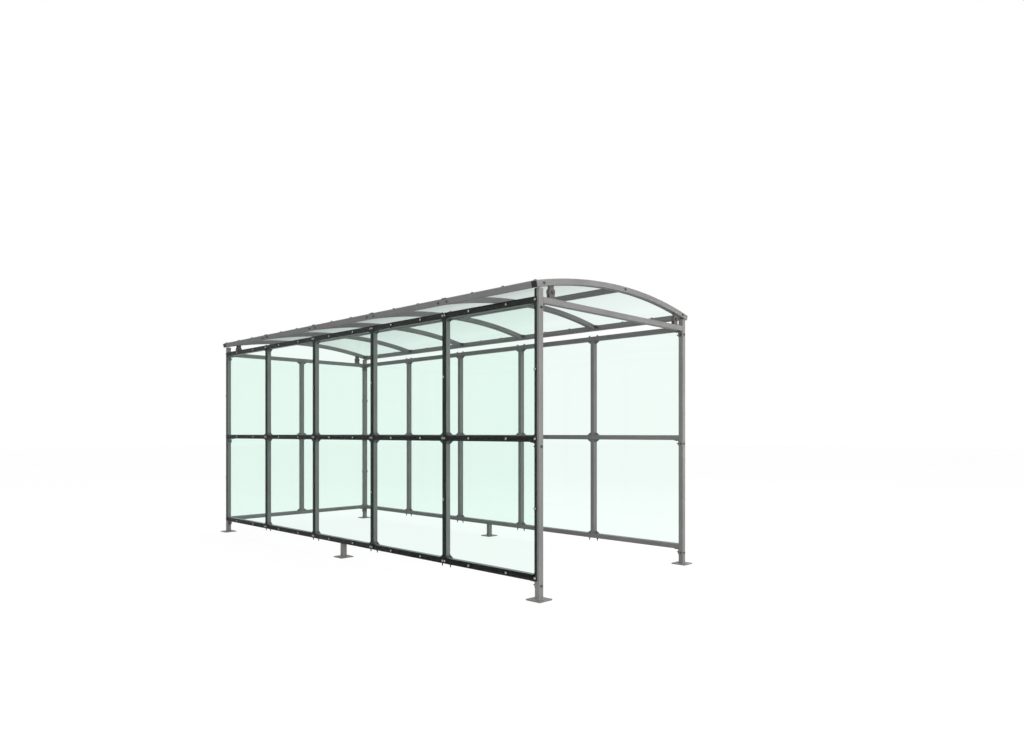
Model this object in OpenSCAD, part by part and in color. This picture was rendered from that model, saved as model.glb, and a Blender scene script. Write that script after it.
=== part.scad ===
// Open-fronted shelter for shopping carts: a frame of square steel tube, glass
// panes bolted to its outside over black gaskets, and a barrel roof carried on
// four brackets. Millimetres. X is the width, Y the length with the open front
// at -Y, and Z is up. The origin is at the centre of the footprint, on the ground.

/* [Layout] */
// Number of glazed bays along each side wall
bays = 5; // [3:1:7]
// Length of one side bay, between upright centre lines
bay_len = 1018; // [900:1:1150]
// Distance across the shelter between post centre lines
span = 1968; // [1700:1:2300]
// Number of glazed bays across the back wall
back_bays = 2; // [1:1:3]
// Height of the bottom rail's centre line
low_rail_z = 159; // [130:1:260]
// Height from one rail's centre line to the next
rail_pitch = 1001; // [850:1:1100]

/* [Frame tube] */
// Outer side of the square frame tube
tube = 45; // [38:1:60]
// Wall thickness of every tube
tube_wall = 2.5; // [2:0.5:4]
// Outer corner radius of every tube
tube_round = 4; // [2:0.5:6]
// Height of the open post end above the top rails
post_rise = 58; // [40:1:80]

/* [Feet] */
// Side of the square base plates
plate_side = 140; // [125:1:180]
// Thickness of the base plates
plate_t = 8; // [6:1:12]
// Corner radius of the base plates
plate_round = 8; // [4:1:12]
// Distance between anchor holes along each side of a base plate
anchor_pitch = 100; // [92:1:104]
// Diameter of the anchor holes
anchor_d = 14; // [10:1:16]

/* [Glazing] */
// Thickness of the glass panes
pane_t = 6; // [4:1:10]
// Joint between neighbouring panes
pane_joint = 4; // [2:1:8]
// Corner radius of the panes
pane_round = 14; // [6:1:20]
// Thickness of the black gasket behind the panes
gasket_t = 3; // [2:0.5:5]
// Corner radius of the daylight openings in the gasket
gasket_round = 20; // [10:1:60]

/* [Roof] */
// Outer radius of the arched ribs
roof_r = 4620; // [3600:10:6000]
// Stand-out of a rib from each side of the frame tube below it
rib_lap = 2.5; // [0:0.5:10]
// Height of a rib, eave beam and ridge tube, square to the roof
rib_h = 45; // [38:1:60]
// Distance of the eave beams' centre lines beyond the post centre lines
eave_out = 22; // [0:1:40]
// Reach of the two end ribs beyond the eave beams' outer faces
rib_lip = 6; // [2:0.5:30]
// Clearance between the post caps and the rib above
roof_gap = 3.5; // [2:0.5:20]
// Thickness of the roof sheets
sheet_t = 5; // [3:1:8]
// Joint between neighbouring roof sheets
sheet_joint = 4; // [2:1:8]
// Overhang of the roof sheets beyond the eave beams' outer faces
sheet_lip = 4; // [0:1:12]
// Set-back of the end sheets from the end ribs' outer faces
sheet_inset = 20; // [5:1:40]

/* [Cleats] */
// Leg of a cast cleat along the tube that it is bolted through
cleat_leg = 38; // [30:1:50]
// Leg of a cast cleat along the tube that it holds
cleat_rise = 26; // [20:1:40]
// Thickness of a cast cleat's legs and cheeks
cleat_t = 4; // [3:0.5:6]
// Leg of a post angle under the rail
angle_leg = 46; // [36:1:60]
// Leg of a post angle down the post
angle_drop = 52; // [44:1:60]
// Thickness of the post angles
angle_t = 6; // [4:1:8]
// Set-in of cleats and angles from the edges of a tube's flat side
cleat_inset = 0.5; // [0:0.5:3]

/* [Brackets and caps] */
// Distance of a roof bracket inward from its post's centre line
bracket_in = 128; // [100:1:200]
// Radius of a bracket's round eye
eye_r = 33; // [26:1:38]
// Width of the bracket tongue above the eye
tongue_w = 57; // [40:1:62]
// Thickness of each bracket cheek and of the tongue
cheek_t = 10; // [6:1:11]
// Thickness of a bracket's foot pad
pad_t = 5; // [4:1:8]
// Radius of the bracket's pivot bolt
pivot_r = 8; // [6:1:10]
// Thickness of the caps on posts and rib ends
cap_t = 4; // [3:1:6]
// Depth of the plug under a cap
plug_depth = 18; // [10:1:30]

/* [Hidden] */
// Fit of a plug in its tube, and of curved faces that lie on each other
fit = 0.3;
// Facets of small rounds and of the large roof arcs
$fn = 32;
arc_fn = 720;

// Plan
length = bays * bay_len;
front_y = -length / 2;
back_y = length / 2;
side_x = span / 2;
back_bay = span / back_bays;

// Heights
rail_z = [low_rail_z, low_rail_z + rail_pitch, low_rail_z + 2 * rail_pitch];
wall_low = rail_z[0] - tube / 2;
wall_top = rail_z[2] + tube / 2;
post_top = wall_top + post_rise;

// Cleats and angles lie on the flat of the tubes, between their rounded corners
cleat_w = tube - 2 * tube_round - 2 * cleat_inset;
roof_cleat_w = rib_h - 2 * tube_round - 2 * cleat_inset;

// Depth of a rib along the shelter
rib_w = tube + 2 * rib_lap;

// Roof arc: the rib's underside clears the outer top corner of the post caps
rib_in_r = roof_r - rib_h;
roof_axis_z = post_top + cap_t + roof_gap - sqrt(pow(rib_in_r, 2) - pow(side_x + tube / 2, 2));
rib_mid_r = roof_r - rib_h / 2;
eave_angle = asin((side_x + eave_out) / rib_mid_r);
rib_end_angle = eave_angle + (rib_h / 2 + rib_lip) / rib_mid_r * 180 / PI;
sheet_end_angle = eave_angle + (rib_h / 2 + sheet_lip) / roof_r * 180 / PI;

// Bracket
bracket_x = side_x - bracket_in;
rib_under_z = roof_axis_z + sqrt(pow(rib_in_r, 2) - pow(bracket_x, 2));
pivot_z = (wall_top + rib_under_z) / 2;

steel = [0.60, 0.60, 0.61];
black = [0.08, 0.08, 0.09];
glass = [0.78, 0.92, 0.86, 0.45];

// ---- Profiles ----

module rounded_rect(w, h, r) {
    square([w - 2 * r, h], center = true);
    square([w, h - 2 * r], center = true);
    for (x = [-1, 1], y = [-1, 1])
        translate([x * (w / 2 - r), y * (h / 2 - r)]) circle(r = r);
}

// Hollow tube section of outer size w by h
module tube_section(w, h) {
    difference() {
        rounded_rect(w, h, tube_round);
        square([w - 2 * tube_wall, h - 2 * tube_wall], center = true);
    }
}

// ---- Straight tubes ----

module upright(x, y, z0, z1) {
    translate([x, y, z0]) linear_extrude(height = z1 - z0) tube_section(tube, tube);
}

module rail_along_y(x, z, y0, y1) {
    translate([x, y1, z]) rotate([90, 0, 0]) linear_extrude(height = y1 - y0)
        tube_section(tube, tube);
}

module rail_along_x(y, z, x0, x1) {
    translate([x0, y, z]) rotate([90, 0, 90]) linear_extrude(height = x1 - x0)
        tube_section(tube, tube);
}

module post(x, y) {
    color(steel) upright(x, y, plate_t, post_top);
}

module side_rail(x, level) {
    color(steel) rail_along_y(x, rail_z[level], front_y + tube / 2, back_y - tube / 2);
}

module cross_rail(y, level) {
    color(steel) rail_along_x(y, rail_z[level], -side_x + tube / 2, side_x - tube / 2);
}

// Uprights at one place, one between each pair of rails
module mullion(x, y) {
    for (level = [0, 1])
        upright(x, y, rail_z[level] + tube / 2, rail_z[level + 1] - tube / 2);
}

module side_mullions(x) {
    color(steel) for (i = [1 : bays - 1]) mullion(x, front_y + i * bay_len);
}

module back_mullions() {
    color(steel) for (i = [1 : 1 : back_bays - 1]) mullion(-side_x + i * back_bay, back_y);
}

// ---- Cleats: cast ones at the mullions, bent angles at the posts ----

// A profile in the plane of the wall, u along the rail and v up, as a slab of
// width w that is centred on y = 0
module cleat_slab(w) {
    rotate([90, 0, 0]) linear_extrude(height = w, center = true) children();
}

// Open cast cleat of width w in the corner at the origin: two legs, two cheeks
module cleat(w) {
    cleat_slab(w) {
        square([cleat_leg, cleat_t]);
        square([cleat_t, cleat_rise]);
    }
    for (side = [-1, 1]) translate([0, side * (w - cleat_t) / 2, 0])
        cleat_slab(cleat_t)
            polygon([[0, 0], [cleat_leg, 0], [cleat_leg, cleat_t],
                     [cleat_t, cleat_rise], [0, cleat_rise]]);
}

// Plate bent square in the corner at the origin
module post_angle() {
    cleat_slab(cleat_w) difference() {
        square([angle_leg, angle_drop]);
        translate([angle_t, angle_t]) square([angle_leg, angle_drop]);
    }
}

// The cleats round one mullion, above and below each pane opening; turn is 90 on
// a side wall and 0 on the back wall
module mullion_cleats(x, y, turn) {
    for (level = [0, 1], end = [0, 1], way = [0, 180])
        translate([x, y, rail_z[level + end] + (end == 0 ? 1 : -1) * tube / 2])
            rotate([0, 0, turn + way]) translate([tube / 2, 0, 0])
                mirror([0, 0, end]) cleat(cleat_w);
}

// The angle under the rail that leaves a post in the direction turn
module angle_at_post(x, y, level, turn) {
    translate([x, y, rail_z[level] - tube / 2]) rotate([0, 0, turn])
        translate([tube / 2, 0, 0]) mirror([0, 0, 1]) post_angle();
}

module side_cleats(x) {
    color(steel) {
        for (i = [1 : bays - 1]) mullion_cleats(x, front_y + i * bay_len, 90);
        for (level = [0 : 2]) {
            angle_at_post(x, front_y, level, 90);
            angle_at_post(x, back_y, level, -90);
        }
    }
}

module cross_angles(y, level) {
    angle_at_post(-side_x, y, level, 0);
    angle_at_post(side_x, y, level, 180);
}

// Those of the back wall, and the two angles under the front header
module cross_cleats() {
    color(steel) {
        for (i = [1 : 1 : back_bays - 1])
            mullion_cleats(-side_x + i * back_bay, back_y, 0);
        for (level = [0 : 2]) cross_angles(back_y, level);
        cross_angles(front_y, 2);
    }
}

// ---- Feet ----

module base_plate(x, y) {
    color(steel) translate([x, y, 0]) difference() {
        linear_extrude(height = plate_t) rounded_rect(plate_side, plate_side, plate_round);
        for (i = [-1, 1], j = [-1, 1])
            translate([i * anchor_pitch / 2, j * anchor_pitch / 2, -1])
                cylinder(d = anchor_d, h = plate_t + 2);
    }
}

module base_plate_pair(y) {
    for (side = [-1, 1]) base_plate(side * side_x, y);
}

module middle_feet() {
    color(steel) for (side = [-1, 1]) upright(side * side_x, 0, plate_t, wall_low);
}

// Cap with a plug that enters a tube of outer size w by h; it lies above z = 0
module tube_cap(w, h) {
    linear_extrude(height = cap_t) rounded_rect(w, h, tube_round);
    translate([0, 0, -plug_depth]) linear_extrude(height = plug_depth)
        square([w - 2 * tube_wall - 2 * fit, h - 2 * tube_wall - 2 * fit], center = true);
}

module post_caps() {
    color(steel) for (x = [-side_x, side_x], y = [front_y, back_y])
        translate([x, y, post_top]) tube_cap(tube, tube);
}

// ---- Glazing, drawn flat: u runs along the wall, v is the height ----

module gasket_flat(count, pitch) {
    translate([0, wall_low]) difference() {
        square([count * pitch, wall_top - wall_low]);
        for (i = [0 : count - 1], level = [0, 1])
            translate([(i + 0.5) * pitch, tube / 2 + (level + 0.5) * rail_pitch])
                rounded_rect(pitch - tube, rail_pitch - tube, gasket_round);
    }
}

module panes_flat(count, pitch, level) {
    pane_h = (wall_top - wall_low - pane_joint) / 2;
    for (i = [0 : count - 1])
        translate([(i + 0.5) * pitch, wall_low + pane_h / 2 + level * (pane_h + pane_joint)])
            rounded_rect(pitch - pane_joint, pane_h, pane_round);
}

// Stands a flat drawing up along a side wall, t thick, starting at distance d
// outside the tubes. side is -1 on the left and 1 on the right.
module on_side(side, d, t) {
    x0 = side * (side_x + tube / 2 + d);
    translate([side > 0 ? x0 : x0 - t, front_y, 0]) rotate([90, 0, 90])
        linear_extrude(height = t) children();
}

module on_back(d, t) {
    translate([-side_x, back_y + tube / 2 + d + t, 0]) rotate([90, 0, 0])
        linear_extrude(height = t) children();
}

module side_gasket(side) {
    color(black) on_side(side, 0, gasket_t) gasket_flat(bays, bay_len);
}

module side_panes(side, level) {
    color(glass) on_side(side, gasket_t, pane_t) panes_flat(bays, bay_len, level);
}

module back_gasket() {
    color(black) on_back(0, gasket_t) gasket_flat(back_bays, back_bay);
}

module back_panes(level) {
    color(glass) on_back(gasket_t, pane_t) panes_flat(back_bays, back_bay, level);
}

// ---- Roof ----

// Turns its children about the roof's axis by a, positive towards +X
module about_roof_axis(a) {
    translate([0, 0, roof_axis_z]) rotate([0, a, 0]) children();
}

// Sweeps a profile, drawn with u along the radius and v along Y, from -a to a
module roof_sweep(a) {
    translate([0, 0, roof_axis_z]) rotate([0, -90 - a, 0]) rotate([-90, 0, 0])
        rotate_extrude(angle = 2 * a, $fn = arc_fn) children();
}

// Arched hollow tube centred at y, ending at the angles -a and a
module arch(y, a) {
    translate([0, y, 0]) roof_sweep(a) translate([rib_mid_r, 0]) tube_section(rib_h, rib_w);
}

module end_rib(y) {
    color(steel) arch(y, rib_end_angle);
}

// The ribs between stop at the inner faces of the eave beams
module middle_ribs() {
    color(steel) for (i = [1 : bays - 1]) difference() {
        arch(front_y + i * bay_len, eave_angle);
        for (side = [-1, 1])
            about_roof_axis(side * eave_angle)
                translate([-rib_h / 2, front_y + i * bay_len - rib_w, rib_in_r - rib_h])
                    cube([rib_h, 2 * rib_w, 3 * rib_h]);
    }
}

module rib_end_caps() {
    color(black) for (y = [front_y, back_y], side = [-1, 1])
        about_roof_axis(side * rib_end_angle)
            translate([0, y, rib_mid_r]) rotate([0, side * 90, 0]) tube_cap(rib_h, rib_w);
}

// Tube along the roof between the end ribs, turned to the roof's slope at a
module eave_beam(a) {
    color(steel) about_roof_axis(a)
        translate([0, back_y - rib_w / 2, rib_mid_r]) rotate([90, 0, 0])
            linear_extrude(height = length - rib_w) tube_section(rib_h, rib_h);
}

// The ridge tube is in pieces, one between each pair of ribs
module ridge_tube() {
    color(steel) for (i = [0 : bays - 1])
        translate([0, front_y + (i + 1) * bay_len - rib_w / 2, roof_axis_z + rib_mid_r])
            rotate([90, 0, 0]) linear_extrude(height = bay_len - rib_w)
                tube_section(rib_h, rib_h);
}

// Mirrors its children in X where x_sign is -1, and in Y where y_sign is -1
module flipped(x_sign, y_sign) {
    mirror([1 - x_sign, 0, 0]) mirror([0, 1 - y_sign, 0]) children();
}

// Cleats on both sides of a middle rib, bolted to the eave beam at the angle a
module eave_cleats(y, a) {
    inward = a < 0 ? 1 : -1;
    about_roof_axis(a) for (way = [-1, 1])
        translate([inward * rib_h / 2, y + way * rib_w / 2, rib_mid_r])
            flipped(inward, way) rotate([90, 0, 90]) cleat(roof_cleat_w);
}

// Cleats on both sides of the ridge tube, bolted to a rib's face at y; way is 1
// where the tube runs on from that face towards +Y, and -1 towards -Y
module ridge_cleats(y, way) {
    for (side = [-1, 1])
        translate([side * rib_h / 2, y, roof_axis_z + rib_mid_r])
            flipped(side, way) rotate([-90, 0, 0]) cleat(roof_cleat_w);
}

// Cleat on the inner side of the eave beam at the angle a, bolted to the face of
// an end rib at y; way is as for the ridge cleats
module end_cleat(y, way, a) {
    inward = a < 0 ? 1 : -1;
    about_roof_axis(a) translate([inward * rib_h / 2, y, rib_mid_r])
        flipped(inward, way) rotate([-90, 0, 0]) cleat(roof_cleat_w);
}

module roof_cleats() {
    color(steel) for (i = [0 : bays]) {
        y = front_y + i * bay_len;
        if (i > 0) ridge_cleats(y - rib_w / 2, -1);
        if (i < bays) ridge_cleats(y + rib_w / 2, 1);
        if (i > 0 && i < bays) for (side = [-1, 1]) eave_cleats(y, side * eave_angle);
    }
    color(steel) for (side = [-1, 1]) {
        end_cleat(front_y + rib_w / 2, 1, side * eave_angle);
        end_cleat(back_y - rib_w / 2, -1, side * eave_angle);
    }
}

module roof_sheet(y0, y1) {
    translate([0, y0, 0]) roof_sweep(sheet_end_angle)
        translate([roof_r + fit, 0]) square([sheet_t, y1 - y0]);
}

module roof_sheets() {
    color(glass) for (i = [0 : bays - 1]) {
        at_front = i == 0;
        at_back = i == bays - 1;
        joint_0 = front_y + i * bay_len + sheet_joint / 2;
        joint_1 = front_y + (i + 1) * bay_len - sheet_joint / 2;
        roof_sheet(at_front ? front_y - rib_w / 2 + sheet_inset : joint_0,
                   at_back ? back_y + rib_w / 2 - sheet_inset : joint_1);
    }
}

// ---- Roof brackets: a clevis on the rail, a tongue under the rib, one bolt ----

module eye_plate(w, z0, z1) {
    rotate([90, 0, 0]) linear_extrude(height = cheek_t, center = true) {
        translate([0, pivot_z]) circle(r = eye_r);
        translate([-w / 2, z0]) square([w, z1 - z0]);
    }
}

module bracket() {
    gap = fit + cheek_t;
    for (side = [-1, 1]) translate([0, side * gap, 0]) eye_plate(1.7 * eye_r, wall_top, pivot_z);
    translate([-1.2 * eye_r, -tube / 2 + tube_round, wall_top])
        cube([2.4 * eye_r, tube - 2 * tube_round, pad_t]);
    eye_plate(tongue_w, pivot_z, rib_under_z + rib_h / 2);
    translate([0, 0, pivot_z]) rotate([90, 0, 0])
        cylinder(r = pivot_r, h = 2 * gap + cheek_t + pivot_r, center = true);
}

module roof_bracket(side, y) {
    intersection() {
        translate([side * bracket_x, y, 0]) bracket();
        translate([0, y, roof_axis_z]) rotate([90, 0, 0])
            cylinder(r = rib_in_r - fit, h = 2 * rib_w, center = true, $fn = arc_fn);
    }
}

module roof_brackets(y) {
    color(steel) for (side = [-1, 1]) roof_bracket(side, y);
}

post(-side_x, front_y);  // post_front_left
post(side_x, front_y);  // post_front_right
post(-side_x, back_y);  // post_back_left
post(side_x, back_y);  // post_back_right
post_caps();
base_plate_pair(front_y);  // base_plates_front
base_plate_pair(0);  // base_plates_middle
base_plate_pair(back_y);  // base_plates_back
middle_feet();
side_rail(-side_x, 0);  // left_bottom_rail
side_rail(-side_x, 1);  // left_middle_rail
side_rail(-side_x, 2);  // left_top_rail
side_rail(side_x, 0);  // right_bottom_rail
side_rail(side_x, 1);  // right_middle_rail
side_rail(side_x, 2);  // right_top_rail
cross_rail(back_y, 0);  // back_bottom_rail
cross_rail(back_y, 1);  // back_middle_rail
cross_rail(back_y, 2);  // back_top_rail
cross_rail(front_y, 2);  // front_header
side_mullions(-side_x);  // left_mullions
side_mullions(side_x);  // right_mullions
back_mullions();
side_cleats(-side_x);  // left_cleats
side_cleats(side_x);  // right_cleats
cross_cleats();
side_gasket(-1);  // left_gasket
side_gasket(1);  // right_gasket
back_gasket();
side_panes(-1, 0);  // left_panes_lower
side_panes(-1, 1);  // left_panes_upper
side_panes(1, 0);  // right_panes_lower
side_panes(1, 1);  // right_panes_upper
back_panes(0);  // back_panes_lower
back_panes(1);  // back_panes_upper
end_rib(front_y);  // front_rib
middle_ribs();
end_rib(back_y);  // back_rib
rib_end_caps();
eave_beam(-eave_angle);  // left_eave_beam
eave_beam(eave_angle);  // right_eave_beam
ridge_tube();
roof_cleats();
roof_sheets();
roof_brackets(front_y);  // roof_brackets_front
roof_brackets(back_y);  // roof_brackets_back
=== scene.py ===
"""Looks of an open-fronted cart shelter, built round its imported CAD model.

Metres, in the CAD's own frame: X across, Y along from the open front to the
back wall, Z up. The CAD nodes keep their shapes and get materials here. Bolts,
nuts, washers, screws, corner strips and weld beads are pieces of their own.
"""

import math

import bpy
from mathutils import Matrix, Vector

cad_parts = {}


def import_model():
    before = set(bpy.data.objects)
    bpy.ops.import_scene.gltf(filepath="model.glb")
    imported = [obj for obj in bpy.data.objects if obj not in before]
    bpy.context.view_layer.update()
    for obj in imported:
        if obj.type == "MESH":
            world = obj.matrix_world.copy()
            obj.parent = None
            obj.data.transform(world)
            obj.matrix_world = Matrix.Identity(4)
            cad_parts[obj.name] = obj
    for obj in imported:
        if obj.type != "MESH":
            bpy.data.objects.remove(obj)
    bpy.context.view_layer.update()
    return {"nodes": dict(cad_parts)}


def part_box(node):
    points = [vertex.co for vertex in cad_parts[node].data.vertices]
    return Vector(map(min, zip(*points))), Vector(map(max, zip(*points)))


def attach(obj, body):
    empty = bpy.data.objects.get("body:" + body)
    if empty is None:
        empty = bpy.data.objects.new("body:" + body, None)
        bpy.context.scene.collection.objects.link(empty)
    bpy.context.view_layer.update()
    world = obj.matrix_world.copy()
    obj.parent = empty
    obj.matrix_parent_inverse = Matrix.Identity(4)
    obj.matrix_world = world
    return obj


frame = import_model()
CAD = frame["nodes"]


# ---- Sizes read from the frame ----

def middle(node):
    """Centre of a CAD node's box."""
    low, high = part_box(node)
    return (low + high) / 2


BAYS = 5
BACK_BAYS = 2
SIDES = ("left", "right")
LEVELS = ("bottom", "middle", "top")
LEFT, FRONT = middle("post_front_left").xy
RIGHT, BACK = middle("post_back_right").xy
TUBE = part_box("post_front_left")[1].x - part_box("post_front_left")[0].x
HALF = TUBE / 2
RAIL_Z = [middle(f"left_{level}_rail").z for level in LEVELS]
BAY = (BACK - FRONT) / BAYS
BACK_BAY = (RIGHT - LEFT) / BACK_BAYS
# Distance of the panes' outer faces from the wall's centre line
GLASS_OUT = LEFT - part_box("left_panes_lower")[0].x
PLATE_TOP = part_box("base_plates_front")[1].z
# Sizes of the CAD model that its boxes don't give
CLEAT_T = 0.004
ANGLE_T = 0.006
TUBE_ROUND = 0.004
# How near a vertex lies to a plane to count as on it
ON_FACE = 1e-5


def roof_circle():
    """Radius of the roof sheets' top face, and the height of the roof's axis."""
    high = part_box("roof_sheets")[1]
    verts = [v.co for v in CAD["roof_sheets"].data.vertices]
    drop = high.z - max(v.z for v in verts if v.x > high.x - ON_FACE)
    radius = (high.x ** 2 + drop ** 2) / (2 * drop)
    return radius, high.z - radius


SHEET_R, ROOF_AXIS_Z = roof_circle()
RIB_OUT_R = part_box("ridge_tube")[1].z - ROOF_AXIS_Z
RIB_IN_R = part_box("ridge_tube")[0].z - ROOF_AXIS_Z
RIB_MID_R = (RIB_OUT_R + RIB_IN_R) / 2
RIB_H = RIB_OUT_R - RIB_IN_R
RIB_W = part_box("front_rib")[1].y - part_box("front_rib")[0].y
EAVE_ANGLE = math.asin(middle("right_eave_beam").x / RIB_MID_R)
RIB_Y = [FRONT + i * BAY for i in range(BAYS + 1)]


def roof_frame(angle, y):
    """Placement on the roof: X along the arc, Y along the shelter, Z outward from
    the roof's axis. Its origin is on the axis."""
    return Matrix.Translation((0, y, ROOF_AXIS_Z)) @ Matrix.Rotation(angle, 4, "Y")


# ---- Shapes: each is (vertices, faces) ----

UP = Vector((0, 0, 1))
WASHER_SIDES = 28
DOME_SIDES = 20
THREAD_SIDES = 14
# The arc of a dome head in steps, and how many more steps would close it at the top
DOME_STEPS = 5
DOME_OPEN = 1.3
# A dome head's straight rim and the floor of its drive recess, as shares of its
# height, and the recess's radius down there as a share of the one at the top
DOME_RIM = 0.12
SOCKET_EDGE = 0.45
SOCKET_FLOOR = 0.4
SOCKET_TAPER = 0.94
# Chamfer of a hexagon's corners, as a share of its half width, and how steep it is
HEX_CHAMFER = 0.12
HEX_SLOPE = 0.6
# A thread's pitch, its radius at the root and at the end, and the plain length at the
# end, as shares of the bolt's radius
THREAD_PITCH = 0.3
THREAD_ROOT = 0.86
THREAD_END = 0.7
THREAD_PLAIN = 0.4


def turned(profile, sides):
    """A profile of (radius, height) points turned about +Z."""
    verts, faces, rings = [], [], []
    for radius, height in profile:
        count = sides if radius > 0 else 1
        start = len(verts)
        for i in range(count):
            a = 2 * math.pi * i / sides
            verts.append(Vector((radius * math.cos(a), radius * math.sin(a), height)))
        rings.append([start + i % count for i in range(sides)])
    for below, above in zip(rings, rings[1:]):
        for i in range(sides):
            j = (i + 1) % sides
            corners = [below[i], below[j], above[j], above[i]]
            faces.append(list(dict.fromkeys(corners)))
    return verts, faces


def disc(radius, height, edge, sides=WASHER_SIDES):
    """A flat washer without its hole, with rounded edges."""
    return turned([(0, 0), (radius - edge, 0), (radius, edge), (radius, height - edge),
                   (radius - edge, height), (0, height)], sides)


def dome_head(radius, height, socket):
    """A button head with a round drive recess of the radius socket."""
    rim = DOME_RIM * height
    profile = [(0, 0), (radius, 0), (radius, rim)]
    for i in range(1, DOME_STEPS + 1):
        a = math.pi / 2 * i / (DOME_STEPS + DOME_OPEN)
        profile.append((radius * math.cos(a), rim + (height - rim) * math.sin(a)))
    profile += [(socket, height), (socket * SOCKET_TAPER, SOCKET_EDGE * height),
                (0, SOCKET_FLOOR * height)]
    return turned(profile, DOME_SIDES)


def hexagon(across, height):
    """A hexagon head or nut of that size across its corners."""
    r, c = across / 2, HEX_CHAMFER * across / 2
    return turned([(0, 0), (r - c, 0), (r, c * HEX_SLOPE), (r, height - c * HEX_SLOPE),
                   (r - c, height), (0, height)], 6)


def bolt_end(radius, length):
    """The threaded end that stands out of a nut, with its turns as ridges."""
    pitch = THREAD_PITCH * radius
    turns = max(2, int((length - THREAD_PLAIN * radius) / pitch))
    profile = [(0, 0), (radius, 0)]
    for i in range(turns):
        profile.append((radius * THREAD_ROOT, (i + 0.5) * pitch))
        profile.append((radius, (i + 1) * pitch))
    profile += [(radius * THREAD_END, length), (0, length)]
    return turned(profile, THREAD_SIDES)


def block(low, high):
    """A box between two opposite corners."""
    verts = [Vector((x, y, z))
             for x in (low.x, high.x) for y in (low.y, high.y) for z in (low.z, high.z)]
    faces = [[0, 1, 3, 2], [4, 6, 7, 5],
             [0, 4, 5, 1], [2, 3, 7, 6],
             [0, 2, 6, 4], [1, 5, 7, 3]]
    return verts, faces


def facing(point, direction, turn=0.0):
    """Placement of a shape at point, with its +Z along direction."""
    aim = Vector(direction).to_track_quat("Z", "Y").to_matrix().to_4x4()
    return Matrix.Translation(point) @ aim @ Matrix.Rotation(turn, 4, "Z")


class Piece:
    """Many small shapes gathered into one mesh."""

    def __init__(self):
        self.verts, self.faces = [], []

    def add(self, shape, place=Matrix.Identity(4)):
        """Adds a shape, put in its place."""
        verts, faces = shape
        start = len(self.verts)
        self.verts += [place @ v for v in verts]
        self.faces += [[start + i for i in face] for face in faces]

    def make(self, name, material, slot, sharp=35):
        """Makes the mesh on the root body. Edges over sharp degrees stay sharp."""
        mesh = bpy.data.meshes.new(name)
        mesh.from_pydata(self.verts, [], self.faces)
        mesh.polygons.foreach_set("use_smooth", [True] * len(mesh.polygons))
        mesh.set_sharp_from_angle(angle=math.radians(sharp))
        mesh.materials.append(material)
        obj = bpy.data.objects.new(name, mesh)
        bpy.context.scene.collection.objects.link(obj)
        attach(obj, "root")


# ---- Materials ----

class Graph:
    """Short calls for building the nodes of a material or of the world."""

    def __init__(self, owner, output="ShaderNodeOutputMaterial"):
        owner.use_nodes = True
        self.owner = owner
        self.tree = owner.node_tree
        self.tree.nodes.clear()
        self.output = self.node(output)

    def node(self, kind, **inputs):
        """A node with its inputs set by name, from a value or from another socket.
        A name that starts with an underscore is a setting of the node itself."""
        made = self.tree.nodes.new(kind)
        for name, value in inputs.items():
            if name.startswith("_"):
                setattr(made, name[1:], value)
        for name, value in inputs.items():
            if not name.startswith("_"):
                self.feed(made.inputs[name.replace("_", " ")], value)
        return made

    def feed(self, socket, value):
        """Sets an input, or links it where value is a socket."""
        if isinstance(value, bpy.types.NodeSocket):
            self.tree.links.new(value, socket)
        else:
            socket.default_value = value

    def math(self, operation, *values, clamp=False):
        """The result of one operation on values or sockets."""
        made = self.tree.nodes.new("ShaderNodeMath")
        made.operation, made.use_clamp = operation, clamp
        for socket, value in zip(made.inputs, values):
            self.feed(socket, value)
        return made.outputs[0]

    def mix(self, factor, a, b):
        """A colour between a and b."""
        made = self.tree.nodes.new("ShaderNodeMix")
        made.data_type = "RGBA"
        for name, value in (("Factor_Float", factor), ("A_Color", a), ("B_Color", b)):
            socket = next(s for s in made.inputs if s.identifier == name)
            self.feed(socket, value)
        return next(s for s in made.outputs if s.identifier == "Result_Color")

    def blend(self, factor, a, b):
        """A shader between the shaders a and b."""
        made = self.node("ShaderNodeMixShader", Fac=factor)
        self.feed(made.inputs[1], a)
        self.feed(made.inputs[2], b)
        return made.outputs[0]

    def spread(self, value, low, high):
        """value, from 0 to 1, spread from low to high."""
        return self.node("ShaderNodeMapRange", Value=value, To_Min=low,
                         To_Max=high).outputs[0]

    def place(self):
        """Where the shaded point is on the piece, in metres."""
        return self.node("ShaderNodeTexCoord").outputs["Object"]

    def noise(self, scale, detail, stretch=(1, 1, 1)):
        """Soft noise from 0 to 1, with scale grains to the metre."""
        where = self.node("ShaderNodeMapping", Vector=self.place(), Scale=stretch)
        return self.node("ShaderNodeTexNoise", Vector=where.outputs[0], Scale=scale,
                         Detail=detail).outputs["Fac"]

    def show(self, shader):
        """Gives the material or the world its surface, and returns it."""
        self.tree.links.new(shader, self.output.inputs["Surface"])
        return self.owner


def material_graph(name):
    """The empty graph of a new material."""
    return Graph(bpy.data.materials.new(name))


def rgb(r, g, b):
    """An opaque colour, as a node's input takes it."""
    return (r, g, b, 1.0)


WHITE = rgb(1, 1, 1)
# Zinc coat: its crystals, clouds and grain to the metre, and the lines left by drawing,
# counted across a tube and along it
SPANGLE_SCALE = 62.0
CLOUD_SCALE = 3.2
FINE_SCALE = 420.0
CAST_SCALE = 90.0
LINES_ACROSS = 160.0
LINES_ALONG = 1.3
# How much each of them sways the tone between dark and light
SPANGLE_TONE = 0.26
CLOUD_TONE = 1.5
LINE_TONE = 0.7
# Share of the crystals in the roughness, and of the lines in the bumps
SPANGLE_ROUGH = 0.35
LINE_BUMP = 0.7
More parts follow.
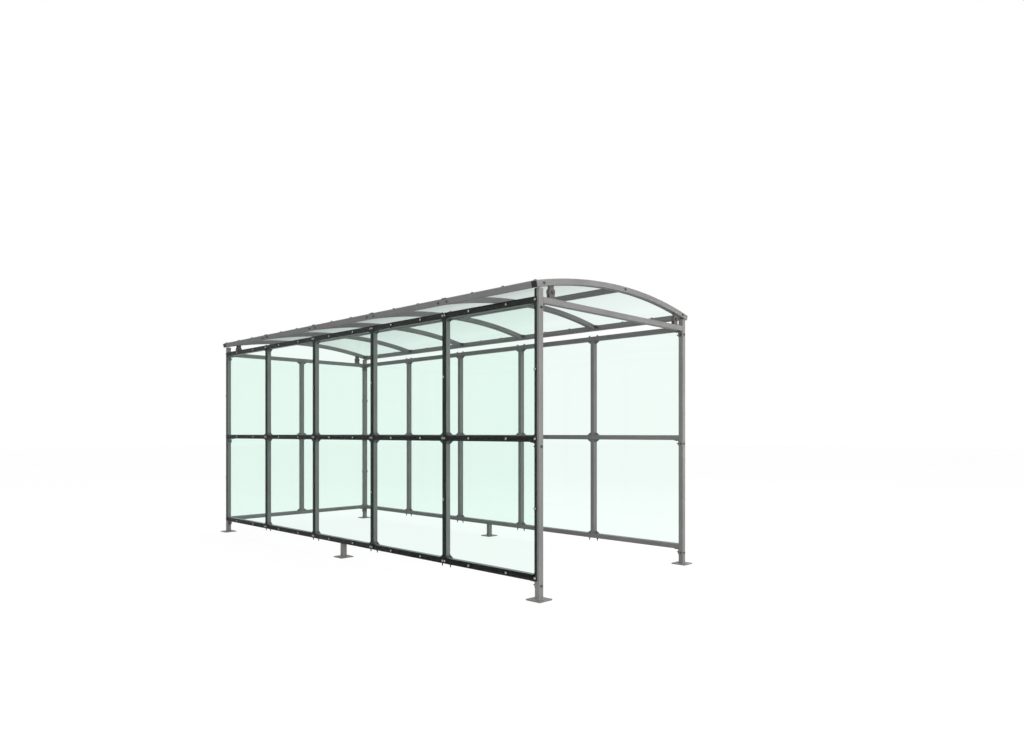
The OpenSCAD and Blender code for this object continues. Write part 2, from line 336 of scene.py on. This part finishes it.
# Splash dirt: up to that height above the ground, and how fast it thins on the way
DIRT_TOP = 0.3
DIRT_THINNING = 1.6
DIRT = (0.17, 0.155, 0.135)
DIRT_SCALE = 26.0
DIRT_COVER = 0.4
# Dust on black rubber and plastic: wide patches with fine ones in them
DUST_PATCHES = 9.0
DUST_SPECKS = 60.0
DUST_COVER = 1.6


def steel(name, grain_axis=None, dark=(0.235, 0.232, 0.230), light=(0.33, 0.326, 0.322),
          metallic=0.15, rough=(0.42, 0.6)):
    """Zinc-coated steel: crystal spangle, cloudy tone, splash dirt at the bottom, and
    fine lines left by drawing the tube along grain_axis (0, 1 or 2). Without an axis
    it has the even grain of a casting or plate."""
    g = material_graph(name)
    cells = g.node("ShaderNodeTexVoronoi", Vector=g.place(), Scale=SPANGLE_SCALE)
    spangle = g.node("ShaderNodeSeparateColor", Color=cells.outputs["Color"]).outputs[0]
    clouds = g.noise(CLOUD_SCALE, 5.0)
    fine = g.noise(FINE_SCALE, 2.0)
    if grain_axis is None:
        lines = g.noise(CAST_SCALE, 2.0)
    else:
        stretch = [LINES_ACROSS] * 3
        stretch[grain_axis] = LINES_ALONG
        lines = g.noise(1.0, 2.0, stretch)
    tone = g.math("MULTIPLY_ADD", spangle, SPANGLE_TONE, -SPANGLE_TONE / 2)
    tone = g.math("MULTIPLY_ADD", g.math("SUBTRACT", clouds, 0.5), CLOUD_TONE, tone)
    tone = g.math("MULTIPLY_ADD", g.math("SUBTRACT", lines, 0.5), LINE_TONE, tone)
    tone = g.math("ADD", tone, 0.5, clamp=True)
    colour = g.mix(tone, rgb(*dark), rgb(*light))
    height = g.node("ShaderNodeSeparateXYZ", Vector=g.place()).outputs["Z"]
    low = g.node("ShaderNodeMapRange", Value=height, From_Min=0.0, From_Max=DIRT_TOP,
                 To_Min=1.0, To_Max=0.0).outputs[0]
    patches = g.math("MULTIPLY", g.math("POWER", low, DIRT_THINNING),
                     g.noise(DIRT_SCALE, 4.0))
    colour = g.mix(g.math("MULTIPLY", patches, DIRT_COVER, clamp=True), colour, rgb(*DIRT))
    roughness = g.math("MULTIPLY_ADD", spangle, SPANGLE_ROUGH,
                       g.math("MULTIPLY", clouds, 1 - SPANGLE_ROUGH))
    bumps = g.math("MULTIPLY_ADD", lines, LINE_BUMP,
                   g.math("MULTIPLY", fine, 1 - LINE_BUMP))
    bump = g.node("ShaderNodeBump", Height=bumps, Strength=0.18, Distance=0.0004)
    shader = g.node("ShaderNodeBsdfPrincipled", Base_Color=colour, Metallic=metallic,
                    Roughness=g.spread(roughness, *rough), Normal=bump.outputs[0],
                    Specular_IOR_Level=0.4)
    return g.show(shader.outputs[0])


def moulded(name, dark, light, rough, grain):
    """Black rubber or plastic with dusty patches and a grain of so many to the metre."""
    g = material_graph(name)
    dust = g.math("MULTIPLY", g.noise(DUST_PATCHES, 5.0), g.noise(DUST_SPECKS, 2.0))
    cover = g.math("MULTIPLY", dust, DUST_COVER, clamp=True)
    colour = g.mix(cover, rgb(*dark), rgb(*light))
    bump = g.node("ShaderNodeBump", Height=g.noise(grain, 2.0), Strength=0.25,
                  Distance=0.0003)
    shader = g.node("ShaderNodeBsdfPrincipled", Base_Color=colour,
                    Roughness=g.spread(dust, *rough), Normal=bump.outputs[0],
                    Specular_IOR_Level=0.25)
    return g.show(shader.outputs[0])


GLASS_INDEX = 1.45
# The share of the real mirroring that a sheet keeps
WALL_GLOSS = 0.2
ROOF_GLOSS = 0.07
# How late the tint deepens as a sheet is seen more and more along its face
WALL_SLANT_POWER = 12.0
ROOF_SLANT_POWER = 10.0
# The tint of the light that a face lets through onto other surfaces
GLASS_LIGHT_TINT = (0.72, 0.755, 0.74)
GLASS_MIRROR_TINT = (0.95, 0.97, 0.96)
# The film of dust: its smudges to the metre, and the roughness without it and in it
SMUDGE_SCALE = 2.4
FILM_POWER = 3.0
FILM_ROUGH = (0.02, 0.12)
EDGE_GREEN = (0.07, 0.13, 0.11)
EDGE_ROUGH = 0.22
EDGE_COVER = 0.75


def glazing(name, tint, deep_tint, slant_tint, flat_axis, flat_share=0.5,
            gloss_share=WALL_GLOSS, slant_power=WALL_SLANT_POWER):
    """Clear sheet: a tint for each face that is passed, which deepens to slant_tint
    where it's seen along the sheet, gloss by Fresnel, a film of dust, and greener cut
    edges. flat_axis is the axis that its broad faces face, and an edge's normal has
    less than flat_share along it."""
    g = material_graph(name)
    path = g.node("ShaderNodeLightPath").outputs
    smudges = g.noise(SMUDGE_SCALE, 6.0)
    film = g.math("POWER", smudges, FILM_POWER)
    slant = g.node("ShaderNodeLayerWeight", Blend=0.5).outputs["Facing"]
    seen = g.mix(g.math("POWER", slant, slant_power),
                 g.mix(smudges, rgb(*tint), rgb(*deep_tint)), rgb(*slant_tint))
    lighting = g.math("ADD", path["Is Shadow Ray"], path["Is Diffuse Ray"], clamp=True)
    passed = g.mix(lighting, seen, rgb(*GLASS_LIGHT_TINT))
    clear = g.node("ShaderNodeBsdfTransparent", Color=passed)
    gloss = g.node("ShaderNodeBsdfGlossy", Color=rgb(*GLASS_MIRROR_TINT),
                   Roughness=g.spread(film, *FILM_ROUGH))
    # The node turns its index over on a back face. It's turned over here first, so
    # that a face mirrors the same from both sides.
    geometry = g.node("ShaderNodeNewGeometry").outputs
    index = g.spread(geometry["Backfacing"], GLASS_INDEX, 1 / GLASS_INDEX)
    fresnel = g.node("ShaderNodeFresnel", IOR=index).outputs[0]
    sheet = g.blend(g.math("MULTIPLY", fresnel, gloss_share), clear.outputs[0],
                    gloss.outputs[0])
    cut = g.node("ShaderNodeBsdfPrincipled", Base_Color=rgb(*EDGE_GREEN),
                 Roughness=EDGE_ROUGH)
    normal = g.node("ShaderNodeSeparateXYZ", Vector=geometry["Normal"])
    across = g.math("ABSOLUTE", normal.outputs[flat_axis])
    on_edge = g.math("LESS_THAN", across, flat_share)
    return g.show(g.blend(g.math("MULTIPLY", on_edge, EDGE_COVER), sheet,
                          cut.outputs[0]))


# Tubes by the axis that they run along; posts, header and front rib take a paler copy of
# the same zinc steel, which is painted light
STEEL = [steel(f"zinc_steel_{axis}", i) for i, axis in enumerate("xyz")]
LIT_STEEL_TONES = {"dark": (0.25, 0.247, 0.245), "light": (0.35, 0.346, 0.342)}
LIT_STEEL_POST = steel("zinc_steel_post_lit", 2, **LIT_STEEL_TONES)
LIT_STEEL_FRONT = steel("zinc_steel_front_lit", 0, **LIT_STEEL_TONES)
STEEL_PLATE = steel("zinc_steel_plate")
# Cleats: a darker copy of the zinc steel, which paints shade on them where they sit under
# the rails and beams
SHADED_CAST_STEEL = steel("zinc_casting_painted_shade",
                   dark=(0.15, 0.148, 0.146), light=(0.235, 0.232, 0.23))
BOLT_DARK = steel("bolt_steel",
                  dark=(0.075, 0.074, 0.073), light=(0.14, 0.138, 0.135),
                  metallic=0.7, rough=(0.35, 0.5))
BOLT_BRIGHT = steel("bright_bolt_steel",
                    dark=(0.33, 0.323, 0.316), light=(0.41, 0.402, 0.394),
                    metallic=0.85, rough=(0.22, 0.34))
# Roof brackets: a still darker copy of the zinc steel, which paints shade on them under
# the rib ends
SHADED_BRACKET_STEEL = steel("bracket_steel_painted_shade",
                      dark=(0.12, 0.113, 0.108), light=(0.185, 0.175, 0.168))
WELD = steel("weld_bead_steel",
             dark=(0.19, 0.185, 0.18), light=(0.30, 0.295, 0.29),
             metallic=0.3, rough=(0.35, 0.5))
RUBBER = moulded("black_rubber_strip",
                 dark=(0.013, 0.0135, 0.0135), light=(0.029, 0.029, 0.028),
                 rough=(0.6, 0.8), grain=700.0)
PLASTIC = moulded("black_moulded_plastic",
                  dark=(0.016, 0.016, 0.017), light=(0.034, 0.033, 0.032),
                  rough=(0.38, 0.55), grain=500.0)
SIDE_GLASS, BACK_GLASS = [
    glazing(f"wall_glass_{axis}", tint=(0.942, 0.988, 0.970),
            deep_tint=(0.936, 0.984, 0.965), slant_tint=(0.90, 0.96, 0.94),
            flat_axis=flat_axis)
    for flat_axis, axis in enumerate("xy")
]
# The roof's slant tint goes far deeper than the longer path through a sheet gives: partly
# that path, mostly a painted reflection of darker surroundings on the sheets seen from
# below
ROOF_GLASS = glazing("roof_glass", tint=(0.953, 0.994, 0.979),
                     deep_tint=(0.945, 0.989, 0.972), slant_tint=(0.30, 0.345, 0.325),
                     flat_axis=2, flat_share=0.8, gloss_share=ROOF_GLOSS,
                     slant_power=ROOF_SLANT_POWER)


def dress(material, *nodes):
    """Gives CAD nodes a material."""
    for node in nodes:
        slots = CAD[node].data.materials
        slots.clear()
        slots.append(material)


def dress_cad():
    """Every CAD node in its material."""
    # The posts take the paler copy of the steel: painted light
    dress(LIT_STEEL_POST, "post_front_left", "post_front_right", "post_back_left",
          "post_back_right")
    dress(STEEL[2], "middle_feet", "left_mullions", "right_mullions", "back_mullions")
    dress(STEEL[1], *[f"{side}_{level}_rail" for side in SIDES for level in LEVELS],
          "left_eave_beam", "right_eave_beam", "ridge_tube")
    dress(STEEL[0], *[f"back_{level}_rail" for level in LEVELS], "middle_ribs",
          "back_rib")
    # Header and front rib take the paler copy too: painted light
    dress(LIT_STEEL_FRONT, "front_header", "front_rib")
    dress(STEEL_PLATE, "base_plates_front", "base_plates_middle", "base_plates_back",
          "post_caps")
    # The cleats take the darker steel copy: painted shade
    dress(SHADED_CAST_STEEL, "left_cleats", "right_cleats", "cross_cleats", "roof_cleats")
    # The roof brackets take the darkest steel copy: painted shade
    dress(SHADED_BRACKET_STEEL, "roof_brackets_front", "roof_brackets_back")
    dress(RUBBER, "left_gasket", "right_gasket", "back_gasket")
    dress(PLASTIC, "rib_end_caps")
    dress(SIDE_GLASS, *[f"{side}_panes_{half}" for side in SIDES
                        for half in ("lower", "upper")])
    dress(BACK_GLASS, "back_panes_lower", "back_panes_upper")
    dress(ROOF_GLASS, "roof_sheets")


# ---- Bolts through the panes ----

# Distance of the outermost bolts inward from the posts' centre lines
POST_BOLT_IN = 0.011
# Half the distance between the two bolts at a joint of panes or sheets
PAIR_HALF = 0.0135
# Places of the single bolts between two uprights, as shares of the bay
BAY_SHARES = (0.297, 0.703)
WASHER_R = 0.013
WASHER_H = 0.003
RUBBER_EDGE = 0.0009
PANE_HEAD_R = 0.0098
PANE_HEAD_H = 0.0055
PANE_SOCKET_R = 0.0031
# How far each head is turned on from the one before
PANE_HEAD_TURN = 0.7


def pane_bolt_spots(count, pitch):
    """(distance along the wall, height) of each bolt through a wall's panes."""
    spots = []
    ends = [POST_BOLT_IN, count * pitch - POST_BOLT_IN]
    for z in RAIL_Z:
        row = list(ends)
        for i in range(1, count):
            row += [i * pitch - PAIR_HALF, i * pitch + PAIR_HALF]
        for i in range(count):
            row += [(i + share) * pitch for share in BAY_SHARES]
        spots += [(u, z) for u in row]
    for low, high in zip(RAIL_Z, RAIL_Z[1:]):
        spots += [(u, (low + high) / 2) for u in ends]
        spots += [(i * pitch, (low + high) / 2) for i in range(1, count)]
    return spots


def pane_bolts(name, start, along, outward, count, pitch):
    """Domed silver heads on black washers, in their rows on one wall."""
    heads, washers = Piece(), Piece()
    dome = dome_head(PANE_HEAD_R, PANE_HEAD_H, PANE_SOCKET_R)
    washer = disc(WASHER_R, WASHER_H, RUBBER_EDGE)
    along, outward = Vector(along), Vector(outward)
    for n, (u, z) in enumerate(pane_bolt_spots(count, pitch)):
        point = Vector(start) + along * u + outward * GLASS_OUT + UP * z
        washers.add(washer, facing(point, outward))
        heads.add(dome, facing(point + outward * WASHER_H, outward, n * PANE_HEAD_TURN))
    heads.make(f"{name}_pane_bolts", BOLT_BRIGHT, "galvanised_steel")
    washers.make(f"{name}_pane_washers", RUBBER, "black_rubber")


# ---- Bolts of the frame ----

BOLT_R = 0.005
NUT_ACROSS = 0.0185
NUT_H = 0.008
HEAD_H = 0.0064
FLAT_R = 0.0105
FLAT_H = 0.002
FLAT_EDGE = 0.0005
FLAT_SIDES = 22
LOW_HEAD_R = 0.0085
LOW_HEAD_H = 0.0035
LOW_SOCKET_R = 0.003
# How far a bolt's end stands out of the face that its nut's washer lies on
BOTTOM_REACH = 0.028
TOP_REACH = 0.015
POST_REACH = 0.024
ANGLE_REACH = 0.0125
RIB_REACH = 0.017
EAVE_REACH = 0.019
# The nuts on the middle and top rails are larger
TOP_NUT_ACROSS = 0.0215
# Distance of a bolt from the corner that its cleat or angle stands in
CLEAT_BOLT = 0.0275
ANGLE_BOLT = 0.0325
LEG_BOLT = 0.030
# How far the hexagons on a rail are turned on from those on the rail below
LEVEL_TURN = 0.4
# Edges over that many degrees stay sharp
BOLT_SHARP = 30


def washer_and_hexagon(piece, point, way, across, height, turn):
    """A flat washer on the face at point, and a hexagon on it, turned by turn."""
    piece.add(disc(FLAT_R, FLAT_H, FLAT_EDGE, FLAT_SIDES), facing(point, way))
    piece.add(hexagon(across, height), facing(point + way * FLAT_H, way, turn))


def nut_and_end(piece, point, direction, reach, turn, across=NUT_ACROSS):
    """Washer, nut and bolt end, standing reach out of the face at point."""
    way = Vector(direction).normalized()
    washer_and_hexagon(piece, point, way, across, NUT_H, turn)
    start = FLAT_H + NUT_H
    piece.add(bolt_end(BOLT_R, reach - start), facing(point + way * start, way))


def head(piece, point, direction, turn):
    """Washer and hexagon head on the face at point."""
    way = Vector(direction).normalized()
    washer_and_hexagon(piece, point, way, NUT_ACROSS, HEAD_H, turn)


def low_head(piece, point, direction):
    """Low button head on the face at point."""
    piece.add(dome_head(LOW_HEAD_R, LOW_HEAD_H, LOW_SOCKET_R), facing(point, direction))


def mullion_bolts(piece, x, y, along, nuts_outside):
    """Bolts up through the rails, one in each cleat beside a mullion. The nuts are
    under the bottom rail and on top of the other two. Where nuts_outside is false,
    the bottom and top rails have low heads there."""
    along = Vector(along)
    for level, z in enumerate(RAIL_Z):
        nut_way = -UP if level == 0 else UP
        nut_out = HALF + (CLEAT_T if level == 1 else 0)
        for side in (-1, 1):
            spot = Vector((x, y, z)) + along * side * (HALF + CLEAT_BOLT)
            turn = LEVEL_TURN * level + side
            nut_spot = spot + nut_way * nut_out
            head(piece, spot - nut_way * (HALF + CLEAT_T), -nut_way, turn)
            if level != 1 and not nuts_outside:
                low_head(piece, nut_spot, nut_way)
            elif level == 0:
                nut_and_end(piece, nut_spot, nut_way, BOTTOM_REACH, turn)
            else:
                nut_and_end(piece, nut_spot, nut_way, TOP_REACH, turn, TOP_NUT_ACROSS)


def post_bolts(piece, x, y, inward):
    """Bolts of a front post: through its angles, with a head on the open side and
    the nut inside, and a head on its inner face below the two lower rails."""
    way, inward = Vector((0, 1, 0)), Vector(inward)
    for level, z in enumerate(RAIL_Z):
        spot = Vector((x, y, z - HALF - ANGLE_BOLT))
        head(piece, spot - way * HALF, -way, z)
        nut_and_end(piece, spot + way * (HALF + ANGLE_T), way, POST_REACH, z)
        if level < 2:
            head(piece, spot + inward * HALF, inward, z)


def angle_bolts(piece, x, y, inward, levels, on_post):
    """Bolts of the post angles that run from a post towards inward: one up into
    the rail, and where on_post is true, one into the post."""
    inward = Vector(inward)
    for level in levels:
        under = Vector((x, y, RAIL_Z[level] - HALF - ANGLE_T))
        low_head(piece, under + inward * (HALF + LEG_BOLT), -UP)
        if on_post:
            spot = Vector((x, y, RAIL_Z[level] - HALF - ANGLE_BOLT))
            nut_and_end(piece, spot + inward * (HALF + ANGLE_T), inward, ANGLE_REACH,
                        level)


def frame_bolts():
    """Bolts of the side walls, and those of the back wall and the front header."""
    all_levels = range(len(RAIL_Z))
    top_level = all_levels[-1:]
    for name, x, inward in (("left", LEFT, (1, 0, 0)), ("right", RIGHT, (-1, 0, 0))):
        piece = Piece()
        for y in RIB_Y[1:-1]:
            mullion_bolts(piece, x, y, (0, 1, 0), nuts_outside=True)
        post_bolts(piece, x, FRONT, inward)
        angle_bolts(piece, x, FRONT, (0, 1, 0), all_levels, on_post=False)
        angle_bolts(piece, x, BACK, (0, -1, 0), all_levels, on_post=True)
        piece.make(f"{name}_wall_frame_bolts", BOLT_DARK, "galvanised_steel", BOLT_SHARP)
    piece = Piece()
    for i in range(1, BACK_BAYS):
        mullion_bolts(piece, LEFT + i * BACK_BAY, BACK, (1, 0, 0), nuts_outside=False)
    for x, way in ((LEFT, 1), (RIGHT, -1)):
        angle_bolts(piece, x, BACK, (way, 0, 0), all_levels, on_post=True)
        angle_bolts(piece, x, FRONT, (way, 0, 0), top_level, on_post=True)
    piece.make("cross_frame_bolts", BOLT_DARK, "galvanised_steel", BOLT_SHARP)


# ---- Rubber strips on the front posts, above the gaskets ----

# Set-in of a strip from the gasket's front edge
STRIP_IN = 0.0045


def corner_strips():
    """The gasket's black edge carried on up to the top of each front post."""
    piece = Piece()
    for side in SIDES:
        gasket_low, gasket_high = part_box(f"{side}_gasket")
        post_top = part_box(f"post_front_{side}")[1].z
        low = Vector((gasket_low.x, gasket_low.y + STRIP_IN, gasket_high.z))
        high = Vector((gasket_high.x, FRONT + HALF, post_top))
        piece.add(block(low, high))
    piece.make("corner_strips", RUBBER, "black_rubber")


# ---- Weld beads at the feet ----

WELD_R = 0.0048
# Distance from ripple to ripple, and the rings of the mesh in it
WELD_PITCH = 0.0032
RIPPLE_RINGS = 3
# Height of the ripples as a share of the radius, and a slower wander over them
WELD_RIPPLE = 0.12
WELD_WANDER = 0.6
WANDER_TURN = 0.37
WELD_STEPS = 5
# How far the bead's root lies inside the tube's face
WELD_SUNK = 0.0004
WELD_SHARP = 60


def weld_ring(foot, out, radius):
    """A quarter-round section of a weld bead, from its root at foot."""
    arc = [math.pi / 2 * k / WELD_STEPS for k in range(WELD_STEPS + 1)]
    return [foot] + [foot + out * radius * math.cos(a)
                     + Vector((0, 0, radius * math.sin(a))) for a in arc]


def weld_bead(piece, x, y, seed):
    """A rippled bead on the base plate, round a square tube."""
    straight = TUBE - 2 * TUBE_ROUND
    side = straight + TUBE_ROUND * math.pi / 2
    count = round(4 * side / (WELD_PITCH / RIPPLE_RINGS))
    size = WELD_STEPS + 2
    verts, faces = [], []
    for i in range(count):
        quarter, along = divmod(i / count * 4 * side, side)
        turn = quarter * math.pi / 2 + max(0.0, along - straight) / TUBE_ROUND
        spin = Matrix.Rotation(quarter * math.pi / 2, 3, "Z")
        base = spin @ Vector((HALF - TUBE_ROUND, min(along, straight) - straight / 2, 0))
        out = Vector((math.cos(turn), math.sin(turn), 0))
        wave = (math.cos(2 * math.pi * i / RIPPLE_RINGS)
                + WELD_WANDER * math.sin(WANDER_TURN * i + seed))
        foot = Vector((x, y, PLATE_TOP)) + base + out * (TUBE_ROUND - WELD_SUNK)
        verts += weld_ring(foot, out, WELD_R * (1 + WELD_RIPPLE * wave))
        a, b = i * size, (i + 1) % count * size
        for k in range(size):
            j = (k + 1) % size
            faces.append([a + k, b + k, b + j, a + j])
    piece.add((verts, faces))


def foot_welds():
    """Weld beads round the four posts and the two middle feet."""
    piece = Piece()
    feet = [(x, y) for x in (LEFT, RIGHT) for y in (FRONT, middle("middle_feet").y, BACK)]
    for n, (x, y) in enumerate(feet):
        weld_bead(piece, x, y, n)
    piece.make("foot_weld_beads", WELD, "galvanised_steel", WELD_SHARP)


# ---- Roof bolts and screws ----

# Distance of a rib's bolts from the centre line of the beam or tube beside them
ROOF_BOLT_IN = RIB_H / 2 + CLEAT_BOLT
ROOF_SCREW_R = 0.0085
ROOF_SCREW_H = 0.0065
ROOF_SOCKET_R = 0.0026
ROOF_WASHER_R = 0.0125
ROOF_WASHER_H = 0.0035
# Distance of the first and last screw from the ends of the sheets
END_SCREW_IN = 0.018
# Places of the single screws between two ribs, as shares of the bay
ROOF_SHARES = (1 / 3, 2 / 3)
PIVOT_WASHER_R = 0.0145
PIVOT_WASHER_H = 0.0025
PIVOT_WASHER_EDGE = 0.0007
PIVOT_ACROSS = 0.0265
PIVOT_HEAD_H = 0.0075
# A bracket's vertices that lie this near to the ends of its box are on its pivot pin,
# and the pin stands out of the cheeks by more than the second length
PIN_END = 1e-4
PIN_STAND_OUT = 1e-3


def eave_bolts(piece):
    """Bolts through both eave beams, one each side of every middle rib."""
    for side in (-1, 1):
        for y in RIB_Y[1:-1]:
            for way in (-1, 1):
                place = roof_frame(side * EAVE_ANGLE, y + way * (RIB_W / 2 + CLEAT_BOLT))
                out = place.to_3x3() @ Vector((side, 0, 0))
                centre = place @ Vector((0, 0, RIB_MID_R))
                head(piece, centre + out * RIB_H / 2, out, y)
                inner = centre - out * (RIB_H / 2 + CLEAT_T)
                nut_and_end(piece, inner, -out, EAVE_REACH, y)


def rib_bolts(piece):
    """Bolts through the ribs along the shelter, one through each cleat that holds
    the ridge tube or an end of an eave beam."""
    for n, y in enumerate(RIB_Y):
        out = Vector((0, -1 if n < BAYS else 1, 0))
        if n in (0, BAYS):
            stations = [(-EAVE_ANGLE, 1), (0, 1), (EAVE_ANGLE, -1)]
            head_out = RIB_W / 2
        else:
            stations = [(0, -1), (0, 1)]
            head_out = RIB_W / 2 + CLEAT_T
        for angle, side in stations:
            spot = roof_frame(angle, y) @ Vector((side * ROOF_BOLT_IN, 0, RIB_MID_R))
            head(piece, spot + out * head_out, out, n + side)
            nut_and_end(piece, spot - out * (RIB_W / 2 + CLEAT_T), -out, RIB_REACH,
                        n + side)


def bracket_pivot(node):
    """Centre of the pivot bolt of the right-hand bracket in a node, and the
    distance from it to the outer face of a cheek."""
    low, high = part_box(node)
    mid_y, reach = (low.y + high.y) / 2, (high.y - low.y) / 2
    verts = [v.co for v in CAD[node].data.vertices if v.co.x > 0]
    pin = [v for v in verts if abs(v.y - mid_y) > reach - PIN_END]
    x, z = [(min(values) + max(values)) / 2
            for values in ([v.x for v in pin], [v.z for v in pin])]
    cheek = max(abs(v.y - mid_y) for v in verts
                if v.z > z and abs(v.y - mid_y) < reach - PIN_STAND_OUT)
    return Vector((x, mid_y, z)), cheek


def pivot_bolts(piece):
    """The hexagon head and nut on each roof bracket's pivot bolt."""
    washer = disc(PIVOT_WASHER_R, PIVOT_WASHER_H, PIVOT_WASHER_EDGE)
    hexagonal = hexagon(PIVOT_ACROSS, PIVOT_HEAD_H)
    for node in ("roof_brackets_front", "roof_brackets_back"):
        centre, cheek = bracket_pivot(node)
        for side in (-1, 1):
            for way in (-1, 1):
                out = Vector((0, way, 0))
                spot = Vector((side * centre.x, centre.y, centre.z)) + out * cheek
                piece.add(washer, facing(spot, out))
                piece.add(hexagonal, facing(spot + out * PIVOT_WASHER_H, out, side + way))


def roof_screw_spots():
    """(angle, y) of each screw through the roof sheets, in a row along each eave."""
    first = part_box("roof_sheets")[0].y + END_SCREW_IN
    pairs = [y + way * PAIR_HALF for y in RIB_Y[1:-1] for way in (-1, 1)]
    singles = [y + share * BAY for y in RIB_Y[:-1] for share in ROOF_SHARES]
    spots = []
    for side in (-1, 1):
        spots += [(side * EAVE_ANGLE, y) for y in [first, -first] + pairs + singles]
    return spots


def roof_fasteners():
    """Bolts of the roof's frame, and the screws that hold its sheets."""
    bolts = Piece()
    eave_bolts(bolts)
    rib_bolts(bolts)
    pivot_bolts(bolts)
    bolts.make("roof_frame_bolts", BOLT_DARK, "galvanised_steel", BOLT_SHARP)
    screws, washers = Piece(), Piece()
    screw = dome_head(ROOF_SCREW_R, ROOF_SCREW_H, ROOF_SOCKET_R)
    washer = disc(ROOF_WASHER_R, ROOF_WASHER_H, RUBBER_EDGE)
    for angle, y in roof_screw_spots():
        place = roof_frame(angle, y) @ Matrix.Translation((0, 0, SHEET_R))
        washers.add(washer, place)
        screws.add(screw, place @ Matrix.Translation((0, 0, ROOF_WASHER_H)))
    screws.make("roof_screws", BOLT_BRIGHT, "galvanised_steel")
    washers.make("roof_screw_washers", RUBBER, "black_rubber")


# ---- Camera, light and floor ----

CAMERA_AT = (-4.7615, -5.9294, 1.1999)
CAMERA_TURN = -0.801838
CAMERA_LENS = 24.768
CAMERA_SENSOR = 36.0
CAMERA_SHIFT_Y = 0.054
CAMERA_CLIP = 300.0
# Strength of the world's light on surfaces; seen directly it is white
WORLD_LIGHT = 0.48
# The floor as the camera sees it: an even glow, and a grey that takes the shadow
FLOOR_GLOW = 0.93
FLOOR_SHADE = 0.12
# The floor in the gloss of metal and glass, and the light that it throws back
FLOOR_MIRRORED = 0.9
FLOOR_BOUNCE = 0.17
FLOOR_HALF = 60.0
FLOOR_DROP = 0.0005


def camera():
    """The photo's view: level, turned about Z, with the horizon moved by a shift."""
    data = bpy.data.cameras.new("camera")
    data.sensor_width = CAMERA_SENSOR
    data.lens = CAMERA_LENS
    data.shift_y = CAMERA_SHIFT_Y
    data.clip_end = CAMERA_CLIP
    obj = bpy.data.objects.new("camera", data)
    obj.location = CAMERA_AT
    obj.rotation_euler = (math.pi / 2, 0, CAMERA_TURN)
    bpy.context.scene.collection.objects.link(obj)
    bpy.context.scene.camera = obj


def lamp(name, location, size, power, target=(0, 0, 1.2), mirrored=True):
    """A round lamp of that diameter that faces target. Gloss shows it if mirrored."""
    data = bpy.data.lights.new(name, "AREA")
    data.shape = "DISK"
    data.size = size
    data.energy = power
    obj = bpy.data.objects.new(name, data)
    obj.location = location
    aim = Vector(target) - Vector(location)
    obj.rotation_euler = aim.to_track_quat("-Z", "Y").to_euler()
    obj.visible_glossy = mirrored
    bpy.context.scene.collection.objects.link(obj)


def in_gloss(g, path):
    """1 for reflected and refracted rays, else 0."""
    return g.math("ADD", path["Is Glossy Ray"], path["Is Transmission Ray"], clamp=True)


def world():
    """A white background that lights surfaces less than it shows."""
    made = bpy.data.worlds.new("world")
    bpy.context.scene.world = made
    g = Graph(made, "ShaderNodeOutputWorld")
    path = g.node("ShaderNodeLightPath").outputs
    shown = g.math("ADD", path["Is Camera Ray"], in_gloss(g, path), clamp=True)
    back = g.node("ShaderNodeBackground", Color=WHITE,
                  Strength=g.spread(shown, WORLD_LIGHT, 1.0))
    g.show(back.outputs[0])


def floor_material():
    """What the camera, the gloss of other surfaces and their lighting see."""
    g = material_graph("pale_floor")
    path = g.node("ShaderNodeLightPath").outputs
    glow = g.node("ShaderNodeEmission", Color=WHITE, Strength=FLOOR_GLOW)
    shade = g.node("ShaderNodeBsdfDiffuse", Color=rgb(*[FLOOR_SHADE] * 3))
    shown = g.node("ShaderNodeAddShader")
    g.feed(shown.inputs[0], glow.outputs[0])
    g.feed(shown.inputs[1], shade.outputs[0])
    mirrored = g.node("ShaderNodeEmission", Color=WHITE, Strength=FLOOR_MIRRORED)
    plain = g.node("ShaderNodeBsdfDiffuse", Color=rgb(*[FLOOR_BOUNCE] * 3))
    unseen = g.blend(in_gloss(g, path), plain.outputs[0], mirrored.outputs[0])
    return g.show(g.blend(path["Is Camera Ray"], unseen, shown.outputs[0]))


def floor():
    """A pale floor that melts into the white background and keeps the shadow. The
    gloss of metal and glass shows it evenly lit."""
    mesh = bpy.data.meshes.new("floor")
    half = FLOOR_HALF
    corners = [(-half, -half, 0), (half, -half, 0), (half, half, 0), (-half, half, 0)]
    mesh.from_pydata(corners, [], [(0, 1, 2, 3)])
    mesh.materials.append(floor_material())
    obj = bpy.data.objects.new("floor", mesh)
    obj.location.z = -FLOOR_DROP
    bpy.context.scene.collection.objects.link(obj)


def light():
    """Five round lamps. The back panes would mirror the side lamp to the camera, so
    gloss doesn't show that one."""
    lamp("key", (-3.5, -13.0, 1.9), size=6.0, power=330.0)
    lamp("side", (3.4, -5.4, 1.5), size=2.0, power=60.0, target=(1.0, -2.5, 1.5),
         mirrored=False)
    lamp("high_front", (0.5, -8.5, 9.5), size=4.0, power=110.0)
    lamp("fill", (-5.5, -5.5, 1.8), size=3.0, power=95.0, target=(-1.0, -1.5, 1.3))
    lamp("overhead", (2.5, 0.5, 8.5), size=6.0, power=320.0)


camera()
world()
light()
floor()
dress_cad()
pane_bolts("left", (LEFT, FRONT, 0), (0, 1, 0), (-1, 0, 0), BAYS, BAY)
pane_bolts("right", (RIGHT, FRONT, 0), (0, 1, 0), (1, 0, 0), BAYS, BAY)
pane_bolts("back", (LEFT, BACK, 0), (1, 0, 0), (0, 1, 0), BACK_BAYS, BACK_BAY)
frame_bolts()
corner_strips()
foot_welds()
roof_fasteners()
bpy.context.scene.view_settings.view_transform = "Standard"
bpy.context.view_layer.update()
